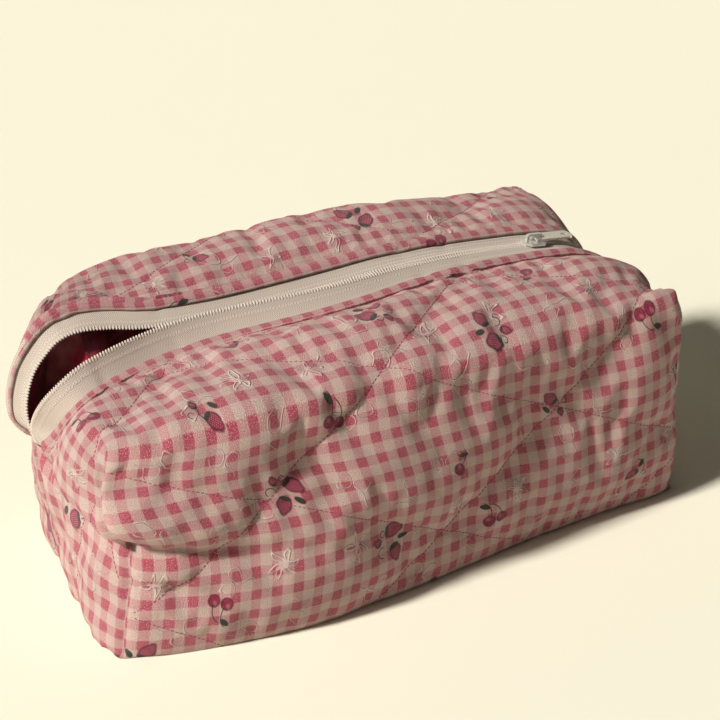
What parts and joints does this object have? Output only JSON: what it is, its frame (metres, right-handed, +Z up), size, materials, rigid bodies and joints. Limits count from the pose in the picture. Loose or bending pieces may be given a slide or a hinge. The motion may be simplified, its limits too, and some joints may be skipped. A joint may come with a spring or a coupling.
{
  "type": "makeup bag",
  "caption": "Quilted box-shaped cotton makeup bag, lined, with a zip over the top that runs down both ends; open at one end, slider near the other.",
  "frame": {"origin": "middle of the bag's footprint on the surface that it stands on", "axes": "+X along the zip towards the slider's end, +Y to the back, +Z up"},
  "size_m": [0.2653, 0.132, 0.1112],
  "materials": {
    "printed_cotton": "quilted cotton, pink and cream gingham with small printed fruit and raised white embroidery, running-stitch quilting in pink",
    "wadding": "polyester wadding",
    "lining_satin": "glossy crimson polyester satin",
    "zip_tape": "off-white herringbone woven zip tape",
    "zip_coil": "off-white nylon coil",
    "slider_metal": "bright plated die-cast slider and pull",
    "seam_binding": "folded polyester binding over the inside seams",
    "stitch_thread": "dark pink polyester sewing thread"
  },
  "bodies": {
    "bag": {"front_cover": "printed_cotton", "back_cover": "printed_cotton", "front_wadding": "wadding", "back_wadding": "wadding", "front_lining": "lining_satin", "back_lining": "lining_satin", "front_zip_tape": "zip_tape", "back_zip_tape": "zip_tape", "front_coil": "zip_coil", "back_coil": "zip_coil", "corner_binding_front_left": "seam_binding", "corner_binding_front_right": "seam_binding", "corner_binding_back_left": "seam_binding", "corner_binding_back_right": "seam_binding", "end_binding_left": "seam_binding", "end_binding_right": "seam_binding", "base_binding": "seam_binding", "front_topstitch": "stitch_thread", "back_topstitch": "stitch_thread"},
    "slider": {"slider_body": "slider_metal"},
    "pull": {"pull_tab": "slider_metal"}
  },
  "joints": [
    {"name": "slider_travel", "type": "hinge", "parent": "bag", "child": "slider", "pos_m": [0, 0.007, -0.57585], "axis": [0, 1, 0], "range_deg": [-16.91, 1.35]},
    {"name": "pull_swing", "type": "hinge", "parent": "slider", "child": "pull", "pos_m": [0.0939, 0.007, 0.10379], "axis": [0, -1, 0], "range_deg": [0, 170]}
  ]
}
